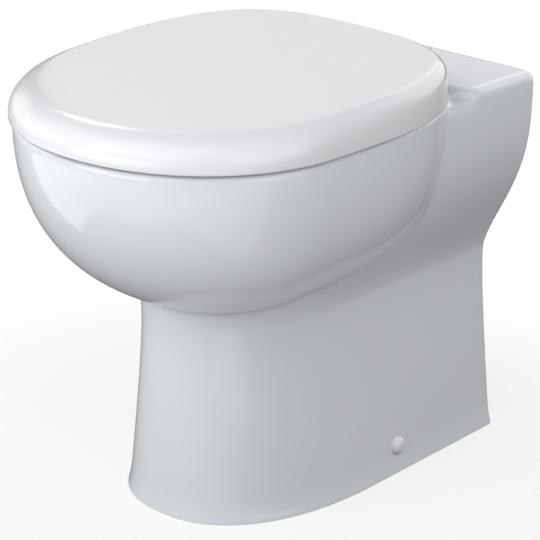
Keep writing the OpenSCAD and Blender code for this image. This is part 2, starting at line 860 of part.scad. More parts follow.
// Domed cover that snaps over the screw's head
module side_cap(side) {
    color("white")
    placed(side)
    translate([spot_x, -fix_y, fix_h])
        rotate([0, 90, 0])
            rotate_extrude($fn = 96)
                polygon(concat(
                    [[0, cap_h - cap_wall], [head_r + seat_gap, cap_h - cap_wall], [head_r + seat_gap, 0]],
                    [for (a = [0:15:90]) [cap_d / 2 - cap_r * (1 - cos(a)), cap_h - cap_r * (1 - sin(a))]],
                    [[0, cap_h]]
                ));
}

pan();
seat();
lid();
seat_buffer(-1, pad_angles[0]);  // seat_buffer_front_left
seat_buffer(1, pad_angles[0]);  // seat_buffer_front_right
seat_buffer(-1, pad_angles[1]);  // seat_buffer_rear_left
seat_buffer(1, pad_angles[1]);  // seat_buffer_rear_right
lid_buffer(-1, lid_pad_angles[0]);  // lid_buffer_front_left
lid_buffer(1, lid_pad_angles[0]);  // lid_buffer_front_right
lid_buffer(-1, lid_pad_angles[1]);  // lid_buffer_rear_left
lid_buffer(1, lid_pad_angles[1]);  // lid_buffer_rear_right
hinge_bracket(-1);  // hinge_bracket_left
hinge_bracket(1);  // hinge_bracket_right
hinge_pin(-1);  // hinge_pin_left
hinge_pin(1);  // hinge_pin_right
bush(-1, seat_lug_x);  // seat_bush_left
bush(1, seat_lug_x);  // seat_bush_right
bush(-1, lid_lug_x);  // lid_bush_left
bush(1, lid_lug_x);  // lid_bush_right
hinge_gasket(-1);  // hinge_gasket_left
hinge_gasket(1);  // hinge_gasket_right
hinge_stud(-1);  // hinge_stud_left
hinge_stud(1);  // hinge_stud_right
cone_bush(-1);  // cone_bush_left
cone_bush(1);  // cone_bush_right
hinge_washer(-1);  // hinge_washer_left
hinge_washer(1);  // hinge_washer_right
wing_nut(-1);  // wing_nut_left
wing_nut(1);  // wing_nut_right
floor_bracket(-1);  // floor_bracket_left
floor_bracket(1);  // floor_bracket_right
bracket_nut(-1);  // bracket_nut_left
bracket_nut(1);  // bracket_nut_right
screw_sleeve(-1);  // screw_sleeve_left
screw_sleeve(1);  // screw_sleeve_right
side_screw(-1);  // side_screw_left
side_screw(1);  // side_screw_right
side_cap(-1);  // side_cap_left
side_cap(1);  // side_cap_right
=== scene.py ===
# %% [markdown]
# # A back to wall toilet, dressed over its CAD frame
# The pan is glazed china, cast in one piece: a round bowl, a pedestal that hides the trap, and a block that
# closes it against the wall. A wrap-over lid and a seat ring of glossy white plastic turn on two hinges.
# The CAD model holds every size and joint, so this lesson only makes the surfaces: it loads the frame,
# sets the camera and lights, models the china, lid and seat, and then paints every piece. Three forms follow
# the photograph more closely than the CAD solids do: the lid's shoulder and lower edge and the bulge of the
# side caps differ by up to a few millimetres, and the ledges beside the shelf start 14 mm higher and draw in
# 7 mm where the solid's draw in 38.

import math
import bmesh
import bpy
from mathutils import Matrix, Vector
from mathutils.bvhtree import BVHTree
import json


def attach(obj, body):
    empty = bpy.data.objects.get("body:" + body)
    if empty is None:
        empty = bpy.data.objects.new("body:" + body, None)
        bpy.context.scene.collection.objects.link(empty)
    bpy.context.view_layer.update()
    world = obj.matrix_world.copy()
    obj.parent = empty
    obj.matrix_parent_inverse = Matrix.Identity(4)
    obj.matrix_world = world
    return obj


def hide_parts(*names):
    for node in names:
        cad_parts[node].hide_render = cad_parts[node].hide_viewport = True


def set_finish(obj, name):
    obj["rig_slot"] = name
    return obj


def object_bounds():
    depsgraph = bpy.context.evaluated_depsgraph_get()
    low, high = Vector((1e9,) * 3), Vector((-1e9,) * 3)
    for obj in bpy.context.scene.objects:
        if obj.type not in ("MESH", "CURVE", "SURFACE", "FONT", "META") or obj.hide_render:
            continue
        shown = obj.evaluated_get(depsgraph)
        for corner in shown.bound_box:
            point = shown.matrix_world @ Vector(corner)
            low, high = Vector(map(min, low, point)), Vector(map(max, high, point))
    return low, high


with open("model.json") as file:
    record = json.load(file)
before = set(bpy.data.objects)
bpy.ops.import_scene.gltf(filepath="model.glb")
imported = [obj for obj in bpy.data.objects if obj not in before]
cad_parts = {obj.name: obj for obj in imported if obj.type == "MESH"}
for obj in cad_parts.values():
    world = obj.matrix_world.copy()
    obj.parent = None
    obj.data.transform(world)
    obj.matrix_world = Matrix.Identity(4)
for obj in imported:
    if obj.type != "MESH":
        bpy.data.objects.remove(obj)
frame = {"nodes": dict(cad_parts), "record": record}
CAD_BOX = [list(corner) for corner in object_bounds()]
MM = 0.001
WALL_Y = CAD_BOX[1][1]
print("CAD box:", CAD_BOX)

# %% [markdown]
# ## Camera
# The photograph was taken from the front right, a little above the lid, with a long lens. Its angles come
# from a fit to the line below the lid, the foot's outline and the back edge of the shelf, with assumed
# heights for lid and shelf: about 44 degrees round from the front and 21 degrees above the floor.
# A camera looks along its own -Z axis, so a direction is turned into a rotation with `to_track_quat`.

# %% Place the camera
CAMERA_AT = Vector((1.5081, -1.5446, 1.0606))
LOOKS_AT = Vector((-0.0266, 0.0467, 0.2000))
LENS_MM, SENSOR_MM = 152.35, 36

bpy.ops.object.camera_add(location=CAMERA_AT)
camera = bpy.context.object
camera.rotation_euler = (LOOKS_AT - CAMERA_AT).to_track_quat("-Z", "Y").to_euler()
camera.data.lens = LENS_MM
camera.data.sensor_width = SENSOR_MM
bpy.context.scene.camera = camera
print("camera distance:", round((LOOKS_AT - CAMERA_AT).length, 3), "m")

# %% [markdown]
# ## Floor and white background
# A catalogue picture stands the object on a white sweep that fades into a white page. The floor here shows
# the camera a mix of lit white paint, which keeps the soft shadow, and plain white, which takes over with the
# distance. The object itself sees a dim grey floor, because too much light from below would flatten the
# undersides of the bowl. Light Path's Is Camera Ray makes that choice.

# %% Make the floor
FLOOR_SIZE = 14.0
FLOOR_SEEN = (0.93, 0.93, 0.93, 1.0)
FLOOR_BOUNCE = (0.15, 0.15, 0.15, 1.0)
FADE_FROM, FADE_TO = 0.28, 0.60
WHITE_NEAR = 0.72
COLOUR_A, COLOUR_B, COLOUR_OUT = 6, 7, 2  # a Mix node's sockets when it mixes colours

bpy.ops.object.select_all(action="DESELECT")
bpy.ops.mesh.primitive_plane_add(size=FLOOR_SIZE, location=(0, 0, 0))
floor = bpy.context.object
floor.name = "studio_floor"

floor_paint = bpy.data.materials.new("studio_floor_white")
floor_paint.use_nodes = True
nodes, links = floor_paint.node_tree.nodes, floor_paint.node_tree.links
nodes.clear()
path = nodes.new("ShaderNodeLightPath")
tone = nodes.new("ShaderNodeMix")
tone.data_type = "RGBA"
tone.inputs[COLOUR_A].default_value = FLOOR_BOUNCE
tone.inputs[COLOUR_B].default_value = FLOOR_SEEN
links.new(path.outputs["Is Camera Ray"], tone.inputs["Factor"])
matt = nodes.new("ShaderNodeBsdfDiffuse")
links.new(tone.outputs[COLOUR_OUT], matt.inputs["Color"])
white = nodes.new("ShaderNodeEmission")
white.inputs["Color"].default_value = (1, 1, 1, 1)
place = nodes.new("ShaderNodeTexCoord")
spread = nodes.new("ShaderNodeVectorMath")
spread.operation = "LENGTH"
links.new(place.outputs["Object"], spread.inputs[0])
fade = nodes.new("ShaderNodeMapRange")
fade.interpolation_type = "SMOOTHSTEP"
fade.inputs["From Min"].default_value = FADE_FROM
fade.inputs["From Max"].default_value = FADE_TO
fade.inputs["To Min"].default_value = WHITE_NEAR
links.new(spread.outputs["Value"], fade.inputs["Value"])
seen = nodes.new("ShaderNodeMath")
seen.operation = "MULTIPLY"
links.new(fade.outputs["Result"], seen.inputs[0])
links.new(path.outputs["Is Camera Ray"], seen.inputs[1])
mix = nodes.new("ShaderNodeMixShader")
links.new(seen.outputs[0], mix.inputs["Fac"])
links.new(matt.outputs["BSDF"], mix.inputs[1])
links.new(white.outputs["Emission"], mix.inputs[2])
links.new(mix.outputs["Shader"], nodes.new("ShaderNodeOutputMaterial").inputs["Surface"])
floor.data.materials.append(floor_paint)
print("floor:", FLOOR_SIZE, "m square")

# %% Light the world
WORLD_STRENGTH = 0.05
WORLD_TINT = (0.965, 0.985, 1.0, 1.0)

world = bpy.data.worlds.new("studio_world")
bpy.context.scene.world = world
world.use_nodes = True
nodes, links = world.node_tree.nodes, world.node_tree.links
nodes.clear()
soft = nodes.new("ShaderNodeBackground")
soft.inputs["Color"].default_value = WORLD_TINT
soft.inputs["Strength"].default_value = WORLD_STRENGTH
backdrop = nodes.new("ShaderNodeBackground")
backdrop.inputs["Strength"].default_value = 1.0
path = nodes.new("ShaderNodeLightPath")
mix = nodes.new("ShaderNodeMixShader")
links.new(path.outputs["Is Camera Ray"], mix.inputs["Fac"])
links.new(soft.outputs["Background"], mix.inputs[1])
links.new(backdrop.outputs["Background"], mix.inputs[2])
links.new(mix.outputs["Shader"], nodes.new("ShaderNodeOutputWorld").inputs["Surface"])
bpy.context.scene.view_settings.view_transform = "Standard"
print("world strength:", WORLD_STRENGTH)

# %% [markdown]
# ## Lamps
# The light was read from the photograph: the lid's top and left side are bright, the front of the pedestal
# is a little less bright, its right side is an even grey, and the underside of the bowl is darkest. Large
# panels all round make soft light with no hard mirror images. Each panel was rendered alone, a least squares
# fit to the photograph's tones gave first powers, and these were then changed. The panel behind on the
# left is the one the flat lid and shelf mirror, and a small lamp beside it is mirrored as the streak on the
# lid's left shoulder. The three glows lie just above the floor and stand for the light that a white sweep throws back
# up. A softbox is placed by its turn round from the front and its elevation.

# %% Hang the lamps
AIM = Vector((0, -0.05, 0.25))
PANEL_AT, STREAK_AT = 2.6, 2.5
GLOW_Z, GLOW_SIZE = 0.03, (0.9, 0.7)


def area_lamp(name, location, rotation, size, power):
    """A rectangular lamp of size = (width, height) in metres."""
    bpy.ops.object.light_add(type="AREA", location=location)
    lamp = bpy.context.object
    lamp.name = name
    lamp.data.shape = "RECTANGLE"
    lamp.data.size, lamp.data.size_y = size
    lamp.data.energy = power
    lamp.rotation_euler = rotation


def softbox(name, turned, raised, size, power, distance=PANEL_AT):
    """A lamp that faces the middle of the object."""
    a, e = math.radians(turned), math.radians(raised)
    away = Vector((math.sin(a) * math.cos(e), -math.cos(a) * math.cos(e), math.sin(e)))
    area_lamp(name, AIM + away * distance, (-away).to_track_quat("-Z", "Y").to_euler(), size, power)


softbox("left_panel", -80, 14, (2.6, 1.2), 9)
softbox("front_left_panel", -45, 30, (2.4, 2.0), 13)
softbox("front_panel", -4, 28, (2.4, 1.6), 9)
softbox("front_high_panel", -5, 52, (2.4, 2.0), 21)
softbox("front_strip", -14, 5, (2.2, 0.9), 21)
softbox("right_panel", 83, 14, (2.4, 2.0), 25)
softbox("right_high_panel", 80, 50, (2.6, 2.2), 13)
softbox("back_panel", 175, 24, (2.6, 2.0), 27)
softbox("back_left_panel", -141, 30, (1.6, 2.2), 10)
softbox("streak_lamp", -113, 43, (0.45, 0.4), 3.2, STREAK_AT)
for name, x, y, power in (("glow_left", -0.75, -0.75, 2.6), ("glow_front", -0.1, -1.0, 1.5),
                          ("glow_right", 0.75, -0.55, 1.4)):
    area_lamp(name, (x, y, GLOW_Z), (math.pi, 0, 0), GLOW_SIZE, power)

# %% [markdown]
# ## Helpers for modelling
# `only` deselects everything else and makes one object active, because an operator acts on whatever is
# selected. `pull_rings` works the way a potter pulls up a wall: a circle is drawn with as many points as
# the outline needs, its edge is extruded again and again, and each new ring is laid on its own outline.

# %% Define the helpers
SMOOTH_ANGLE = math.radians(35)


def only(obj):
    bpy.ops.object.select_all(action="DESELECT")
    obj.select_set(True)
    bpy.context.view_layer.objects.active = obj
    return obj


def apply_modifier(obj, kind, **settings):
    """Add one modifier with these settings and apply it."""
    only(obj)
    modifier = obj.modifiers.new(kind.lower(), kind)
    for name, value in settings.items():
        setattr(modifier, name, value)
    bpy.ops.object.modifier_apply(modifier=modifier.name)
    return obj


def pull_rings(name, rings, joined=False):
    """A skin through rings of points, capped at both ends, or with its last ring joined to its first."""
    bpy.ops.object.select_all(action="DESELECT")
    bpy.ops.mesh.primitive_circle_add(vertices=len(rings[0]), radius=1)
    obj = bpy.context.object
    obj.name = obj.data.name = name
    bpy.ops.object.mode_set(mode="EDIT")
    bpy.ops.mesh.select_all(action="SELECT")
    skin = bmesh.from_edit_mesh(obj.data)
    skin.verts.ensure_lookup_table()
    order = list(range(len(rings[0])))
    for index, place in zip(order, rings[0]):
        skin.verts[index].co = place
    for ring in rings[1:]:
        bpy.ops.mesh.extrude_region_move()
        skin = bmesh.from_edit_mesh(obj.data)
        skin.verts.ensure_lookup_table()
        order = [next(e.other_vert(skin.verts[i]).index for e in skin.verts[i].link_edges
                      if e.other_vert(skin.verts[i]).select) for i in order]
        for index, place in zip(order, ring):
            skin.verts[index].co = place
    if joined:
        bpy.ops.mesh.select_mode(type="EDGE")
        bpy.ops.mesh.select_all(action="DESELECT")
        bpy.ops.mesh.select_non_manifold()
        bpy.ops.mesh.bridge_edge_loops()
        bpy.ops.mesh.select_mode(type="VERT")
    else:
        bpy.ops.mesh.select_all(action="SELECT")
        bpy.ops.mesh.fill_holes(sides=0)
    bpy.ops.mesh.select_all(action="SELECT")
    bpy.ops.mesh.normals_make_consistent(inside=False)
    bpy.ops.object.mode_set(mode="OBJECT")
    return obj


def in_frame(points):
    """Places (x, y, z) in millimetres, with y measured from the wall's face, as places in the frame."""
    return [Vector((x * MM, WALL_Y + y * MM, z * MM)) for x, y, z in points]


def from_wall(points, z):
    """Points (x, y) of a plan outline at the height z, as places in the frame."""
    return in_frame([(x, y, z) for x, y in points])


def rounding(r, top, first, turns):
    """Pairs of (inset, height) round an edge of radius r, in turns steps, which ends level at the height top."""
    angles = [math.radians(90 * i / turns) for i in range(first, turns + 1)]
    return [(r * (1 - math.cos(a)), top - r * (1 - math.sin(a))) for a in angles]


print("helpers ready")

# %% [markdown]
# ## The outlines of the china
# The casting is described the way a pattern maker would draft it: plan outlines at many heights. The bowl
# is an egg that shrinks downwards along a round profile. The pedestal and the block share one outline, with
# a round front and straight sides. It is narrow at the waist, flares to the floor and opens out below the
# shelf. Distances are in millimetres, with Y measured from the wall's face.

# %% Draft the bowl
RIM_H = 400
LID_W = 371
BOWL_HALF = 182
BOWL_FRONT = 164.5
BOWL_REAR = 278
BOWL_H = 190
CENTRE_Y = -340
RIM_R = 5
CHINA_T = 12
EGG_FRONT = 2.07
EGG_REAR = 2.64
BOWL_CURVE = 2.352
BOWL_TAIL = 0.344
BOWL_DRIFT = 49
BOWL_SWEEP = 72
REACH, LID_FRONT = 508, 168


def power(v, p):
    return math.copysign(abs(v) ** p, v)


def blend(a, b, f):
    return a + (b - a) * f


def smooth(f):
    c = max(0.0, min(1.0, f))
    return c * c * (3 - 2 * c)


def around(steps):
    return [2 * math.pi * i / steps for i in range(steps)]


def egg_point(t, half, front, rear, n_front, n_rear, centre):
    n, length = (n_front, front) if math.sin(t) < 0 else (n_rear, rear)
    return half * power(math.cos(t), 2 / n), centre + length * power(math.sin(t), 2 / n)


def bowl_ring(k, inset, z, steps):
    drift = BOWL_DRIFT * (1 - k)
    shape = ((BOWL_HALF - inset) * k, (BOWL_FRONT - inset) * k, (BOWL_REAR - inset) * k ** BOWL_TAIL)
    return from_wall([egg_point(t, *shape, EGG_FRONT, EGG_REAR, CENTRE_Y + drift) for t in around(steps)], z)


def bowl_rings(inset, steps, turns, top):
    """Rings of the bowl from its bottom up to the height top, with the rim left square."""
    rings = []
    for i in range(turns, 0, -1):
        f = math.radians(BOWL_SWEEP * i / turns)
        rings.append(bowl_ring(math.cos(f) ** (2 / BOWL_CURVE), inset,
                               RIM_H - (BOWL_H - inset) * math.sin(f) ** (2 / BOWL_CURVE), steps))
    return rings + [bowl_ring(1, inset, top, steps)]


print("bowl:", 2 * BOWL_HALF, "mm wide,", BOWL_H, "mm deep")

# %% Draft the pedestal and block
BASE_W, NECK_W, SHELF_W = 221, 182, 297
NECK_H = 182
BASE_TAPER, NECK_TAPER, TAPER_N, TAPER_ENDS = 17, 9, 1.2, 185
FRONT_CENTRE = 217
BASE_FRONT, NECK_FRONT = 181, 168
FOOT_FLARE, FOOT_H = 2.5, 25
PLINTH_N = 2.34
HAUNCH_FOOT_N, HAUNCH_HEAD_N, HAUNCH_H = 1.5, 3.5, 200
FLARE_N = 1.25
LEDGE_Z, LEDGE_TOP, LEDGE_DRAW = 386, 396, 7
DECK_UNDER = 385
BACK_R = 4


def haunch_w(z):
    risen = max(0, 1 - (RIM_H - min(z, RIM_H)) / HAUNCH_H)
    return blend(NECK_W / 2, SHELF_W / 2, 1 - (1 - risen ** HAUNCH_FOOT_N) ** HAUNCH_HEAD_N)


def flare_w(z):
    above = max(z, 0)
    low = haunch_w(NECK_H)
    flare = (BASE_W / 2 - FOOT_FLARE - low) * (1 - above / NECK_H) ** FLARE_N
    return low + flare + FOOT_FLARE * max(0, 1 - above / FOOT_H) ** 2


def half_w(z):
    """Half width of the pedestal and block at the wall."""
    return flare_w(z) if z < NECK_H else haunch_w(z)


def mid_w(z):
    """Half width where the round front begins."""
    taper = blend(NECK_TAPER, BASE_TAPER, max(0, 1 - max(z, 0) / NECK_H) ** TAPER_N) / 2
    fade = 1 - smooth((z - NECK_H) / TAPER_ENDS)
    return half_w(z) + taper * fade - LEDGE_DRAW * smooth((z - LEDGE_Z) / (LEDGE_TOP - LEDGE_Z))


def front_l(z):
    share = 0 if z >= NECK_H else (flare_w(z) - flare_w(NECK_H)) / (flare_w(0) - flare_w(NECK_H))
    return blend(NECK_FRONT, BASE_FRONT, share)


def corner(x, y, r, start, steps):
    """Points of a corner rounded by r, which turns a quarter circle from the angle start."""
    mid = math.radians(start + 45)
    cx, cy = x - math.copysign(r, math.cos(mid)), y - math.copysign(r, math.sin(mid))
    angles = [math.radians(start + 90 * i / steps) for i in range(steps + 1)]
    return [(cx + r * math.cos(a), cy + r * math.sin(a)) for a in angles]


def along(start, end, steps):
    """Points strictly between two places, so that a long straight side bends with its neighbours."""
    return [(blend(start[0], end[0], i / steps), blend(start[1], end[1], i / steps)) for i in range(1, steps)]


def plinth_ring(z, inset, front_steps, side_steps):
    mid, back, front = mid_w(z) - inset, half_w(z) - inset, front_l(z) - inset
    points = []
    for i in range(front_steps + 1):
        t = math.pi + math.pi * i / front_steps
        points.append((mid * power(math.cos(t), 2 / PLINTH_N),
                       -FRONT_CENTRE + front * power(math.sin(t), 2 / PLINTH_N)))
    right = corner(back, -inset, BACK_R, 0, 4)
    left = corner(-back, -inset, BACK_R, 90, 4)
    points += along(points[-1], right[0], side_steps) + right + along(right[-1], left[0], side_steps)
    points += left + along(left[-1], points[0], side_steps)
    return from_wall(points, z)


def plinth_rings(low, high, pitch, inset, front_steps, side_steps):
    count = math.ceil((high - low) / pitch)
    levels = [blend(low, high, i / count) for i in range(count + 1)]
    return [plinth_ring(z, inset, front_steps, side_steps) for z in levels]


print("pedestal:", round(2 * half_w(0)), "mm wide at the floor,", round(2 * half_w(NECK_H)), "mm at the waist")

# %% Draft the shelf
SHELF_D, SHELF_STEP, SHELF_CORNER, SHELF_EDGE = 107, 6, 22, 12
SHELF_Z = RIM_H + SHELF_STEP
SHELF_FOOT = LEDGE_Z - 4


def shelf_ring(inset, z):
    x, r = SHELF_W / 2 - inset, max(2, SHELF_CORNER - inset)
    corners = [corner(x, 0, BACK_R, 0, 4), corner(-x, 0, BACK_R, 90, 4),
               corner(-x, inset - SHELF_D, r, 180, 12), corner(x, inset - SHELF_D, r, 270, 12)]
    points = []
    for here, after in zip(corners, corners[1:] + corners[:1]):
        points += here + along(here[-1], after[0], 12)
    return from_wall(points, z)


shelf_rings = [shelf_ring(SHELF_W / 2 - half_w(SHELF_FOOT), SHELF_FOOT), shelf_ring(0, SHELF_Z - SHELF_EDGE)]
shelf_rings += [shelf_ring(inset, z) for inset, z in rounding(SHELF_EDGE, SHELF_Z, 1, 9)]
print("shelf:", SHELF_W, "x", SHELF_D, "mm")

# %% [markdown]
# ## The china blank
# A real pan is slip cast in a plaster mould as one body, so nothing on it is a sharp joint: where the bowl
# meets the pedestal the clay runs round in a small soft fillet. The three forms are therefore joined, turned
# into one even skin, laid back on the true forms, and then only the creases below the rim are smoothed.

# %% Join the three forms
STEPS_ROUND = 200


def cut(obj, others, how="DIFFERENCE"):
    """Boolean with each of the others, which are used up."""
    for other in others:
        apply_modifier(obj, "BOOLEAN", operation=how, object=other, solver="EXACT")
        bpy.data.objects.remove(other)
    return obj


bowl_rows = bowl_rings(0, STEPS_ROUND, 40, RIM_H - RIM_R)
bowl_rows += [bowl_ring(1, inset, z, STEPS_ROUND) for inset, z in rounding(RIM_R, RIM_H, 1, 6)]
bowl_blank = pull_rings("bowl_blank", bowl_rows)
block_rows = plinth_rings(-10, LEDGE_TOP, pitch=4, inset=0, front_steps=80, side_steps=24)
block_blank = pull_rings("block_blank", block_rows)
shelf_blank = pull_rings("shelf_blank", shelf_rings)


def faces_tree(obj):
    return BVHTree.FromObject(obj, bpy.context.evaluated_depsgraph_get())


bowl_tree, block_tree, shelf_tree = [faces_tree(o) for o in (bowl_blank, block_blank, shelf_blank)]
form = cut(bowl_blank, [block_blank, shelf_blank], "UNION")
form.name = "pan_form"
print("joined form:", len(form.data.polygons), "faces")

# %% Even the skin and soften the creases
SKIN_PITCH = 0.0037
CREASE_REACH = 0.0075
CREASE_ROUNDS = 7
CREASE_TOP = 0.372

only(form)
bpy.ops.object.duplicate()
pan = bpy.context.object
pan.name = pan.data.name = "pan_china"
apply_modifier(pan, "REMESH", mode="VOXEL", voxel_size=SKIN_PITCH)

crease = pan.vertex_groups.new(name="crease")
smooth_area = pan.vertex_groups.new(name="smooth_area")
near = 0
for vertex in pan.data.vertices:
    to_bowl = bowl_tree.find_nearest(vertex.co)[3]
    to_block = min(block_tree.find_nearest(vertex.co)[3], shelf_tree.find_nearest(vertex.co)[3])
    in_crease = max(to_bowl, to_block) < CREASE_REACH and vertex.co.z < CREASE_TOP
    near += in_crease
    (crease if in_crease else smooth_area).add([vertex.index], 1.0, "REPLACE")
apply_modifier(pan, "SHRINKWRAP", target=form, wrap_method="NEAREST_SURFACEPOINT", vertex_group="smooth_area")
apply_modifier(pan, "SMOOTH", factor=0.5, iterations=CREASE_ROUNDS, vertex_group="crease")
bpy.data.objects.remove(form)
print("skin:", len(pan.data.vertices), "points,", near, "of them in creases")

# %% Cut the foot flat
only(pan)
bpy.ops.object.mode_set(mode="EDIT")
bpy.ops.mesh.select_all(action="SELECT")
bpy.ops.mesh.bisect(plane_co=(0, 0, 0), plane_no=(0, 0, 1), use_fill=True, clear_inner=True, threshold=1e-6)
bpy.ops.object.mode_set(mode="OBJECT")
print("foot at z =", round(min(v.co.z for v in pan.data.vertices), 5))

# %% [markdown]
# ## Inside of the pan
# The basin hangs in the hollow body like a funnel with a rolled rim, and runs into an S shaped trap behind
# it. The hollow is drafted as the bowl and the pedestal again, one wall thickness smaller, and the basin,
# the trap and the two pipes are taken out of it before it is cut from the blank.

# %% Draft the basin and trap
BASIN_HALF, BASIN_FRONT, BASIN_REAR = 140, 130, 152
BASIN_T, BASIN_DRAW, BASIN_REAR_N = 9, 1.5, 2.6
LIP_H, UNDERCUT = 36, 7
TRAP_R, TRAP_T = 36, 10
TRAP_BEND, TRAP_RISE, WATER_SEAL = 50, 60, 50
OUTLET_H = 185
TRAP_TOP = OUTLET_H - 2 * TRAP_R - WATER_SEAL + TRAP_BEND
TRAP_END = (-105, OUTLET_H)
WELL_R, WELL_Y, WELL_Z = 40, -283.172, TRAP_TOP + 12
WELL_DRAW, WELL_DEPTH = 2, 8


def basin_ring(opened, wall, back, z, steps):
    sizes = [wall + blend(WELL_R, top + back, opened) for top in (BASIN_HALF, BASIN_FRONT, BASIN_REAR)]
    n_rear, centre = blend(2, BASIN_REAR_N, opened), blend(WELL_Y, CENTRE_Y, opened)
    return from_wall([egg_point(t, *sizes, EGG_FRONT, n_rear, centre) for t in around(steps)], z)


def basin_rings(wall, steps, turns):
    """The basin's funnel from its well up to the rim, or its outer skin where wall is more than 0."""
    lip_z = RIM_H - LIP_H
    funnel = lip_z - UNDERCUT - WELL_Z
    rings = [basin_ring(0, wall - WELL_DRAW, 0, WELL_Z - WELL_DEPTH - wall, steps)]
    for i in range(turns + 1):
        opened = ((1 - math.cos(math.pi * i / turns)) / 2) ** BASIN_DRAW
        rings.append(basin_ring(opened, wall, UNDERCUT, WELL_Z + funnel * i / turns, steps))
    if wall:
        return rings + [basin_ring(1, wall, UNDERCUT, DECK_UNDER + 1, steps)]
    rings.append(basin_ring(1, 0, 0, lip_z, steps))
    rings += [basin_ring(1, 0, inset, z, steps) for inset, z in rounding(RIM_R, RIM_H, 0, 6)]
    return rings + [basin_ring(1, 0, RIM_R, RIM_H + 1, steps)]


def tube_ring(y, z, direction, r, flats):
    return [Vector((r * math.cos(a) * MM, WALL_Y + (y + r * math.sin(a) * math.sin(direction)) * MM,
                    (z - r * math.sin(a) * math.cos(direction)) * MM)) for a in around(flats)]


def trap_rings(r, flats, turn=5):
    rings = [tube_ring(WELL_Y, WELL_Z, math.radians(-90), r, flats)]
    for i in range(int((90 + TRAP_RISE) / turn) + 1):
        a = math.radians(180 + turn * i)
        rings.append(tube_ring(WELL_Y + TRAP_BEND * (1 + math.cos(a)), TRAP_TOP + TRAP_BEND * math.sin(a),
                               a + math.pi / 2, r, flats))
    for i in range(int(TRAP_RISE / turn) + 1):
        a = math.radians(90 + TRAP_RISE - turn * i)
        rings.append(tube_ring(TRAP_END[0] + TRAP_BEND * math.cos(a),
                               TRAP_END[1] - TRAP_BEND * (1 - math.sin(a)), a - math.pi / 2, r, flats))
    return rings + [tube_ring(TRAP_END[0] + 5, TRAP_END[1], 0, r, flats)]


print("trap:", len(trap_rings(TRAP_R, 48)), "rings")

# %% Cut the hollow, basin and bores
INLET_H, INLET_R, INLET_DEPTH, FLUSH_R, PIPE_WALL = 345, 27.5, 45, 20, 7
SPIGOT_R, SPIGOT_FROM, SPIGOT_TO = 51, 55, 104
REAR_W, REAR_H = 156, 262
HINGE_X, STUD_Y, STUD_HOLE_R = 77.5, 143, 7
FIX_Y, FIX_H, FIX_X, SPOT_X = 158, 27.5, 110.521, 108.521
SLEEVE_R, SLEEVE_DEPTH, SPOT_R, SPOT_DEPTH = 6.02, 24, 10.15, 12
SPIGOT_WALL, SPIGOT_BORE_DEPTH = 8, 40


def rod(start, end, r, flats=64):
    """A cylinder between two places given from the wall in millimetres."""
    a, b = in_frame((start, end))
    bpy.ops.object.select_all(action="DESELECT")
    bpy.ops.mesh.primitive_cylinder_add(vertices=flats, radius=r * MM, depth=(b - a).length, location=(a + b) / 2)
    obj = bpy.context.object
    obj.rotation_euler = (b - a).to_track_quat("Z", "Y").to_euler()
    bpy.ops.object.transform_apply(location=True, rotation=True, scale=True)
    return obj


def block(low, high):
    """A box between two corners given from the wall in millimetres."""
    a, b = in_frame((low, high))
    bpy.ops.object.select_all(action="DESELECT")
    bpy.ops.mesh.primitive_cube_add(size=1, location=(a + b) / 2)
    obj = bpy.context.object
    obj.scale = b - a
    bpy.ops.object.transform_apply(location=True, rotation=True, scale=True)
    return obj


hollow_rows = plinth_rings(-11, DECK_UNDER, pitch=12, inset=CHINA_T, front_steps=40, side_steps=8)
hollow = pull_rings("hollow", hollow_rows)
cut(hollow, [pull_rings("hollow_bowl", bowl_rings(CHINA_T, 96, 16, DECK_UNDER))], "UNION")
cut(hollow, [
    pull_rings("basin_skin", basin_rings(BASIN_T, 96, 24)),
    pull_rings("trap_skin", trap_rings(TRAP_R + TRAP_T, 40, 10)),
    rod((0, 1, INLET_H), (0, -INLET_DEPTH - PIPE_WALL, INLET_H), INLET_R + PIPE_WALL),
    rod((0, 1, INLET_H), (0, CENTRE_Y + BASIN_REAR, INLET_H), FLUSH_R + PIPE_WALL),
])
openings = [
    hollow,
    pull_rings("basin", basin_rings(0, 160, 48)),
    pull_rings("trap_bore", trap_rings(TRAP_R, 48)),
    block((-REAR_W / 2, -CHINA_T - 1, -1), (REAR_W / 2, 2, REAR_H)),
]
cut(pan, openings)
cut(pan, [rod((0, -SPIGOT_FROM, OUTLET_H), (0, -SPIGOT_TO, OUTLET_H), SPIGOT_R, 96)], "UNION")
bores = [
    rod((0, 1 - SPIGOT_FROM, OUTLET_H), (0, -SPIGOT_FROM - SPIGOT_BORE_DEPTH, OUTLET_H), SPIGOT_R - SPIGOT_WALL),
    rod((0, -SPIGOT_FROM, OUTLET_H), (0, -SPIGOT_TO + 1, OUTLET_H), TRAP_R + 1),
    rod((0, 1, INLET_H), (0, -INLET_DEPTH, INLET_H), INLET_R),
    rod((0, 1 - INLET_DEPTH, INLET_H), (0, CENTRE_Y + BASIN_REAR + 1.5, INLET_H), FLUSH_R),
]
for side in (-1, 1):
    bores += [
        rod((side * HINGE_X, -STUD_Y, DECK_UNDER - 1), (side * HINGE_X, -STUD_Y, RIM_H + 1), STUD_HOLE_R),
        rod((side * (FIX_X - SLEEVE_DEPTH), -FIX_Y, FIX_H), (side * FIX_X, -FIX_Y, FIX_H), SLEEVE_R),
        rod((side * SPOT_X, -FIX_Y, FIX_H), (side * (SPOT_X + SPOT_DEPTH), -FIX_Y, FIX_H), SPOT_R),
    ]
cut(pan, bores)


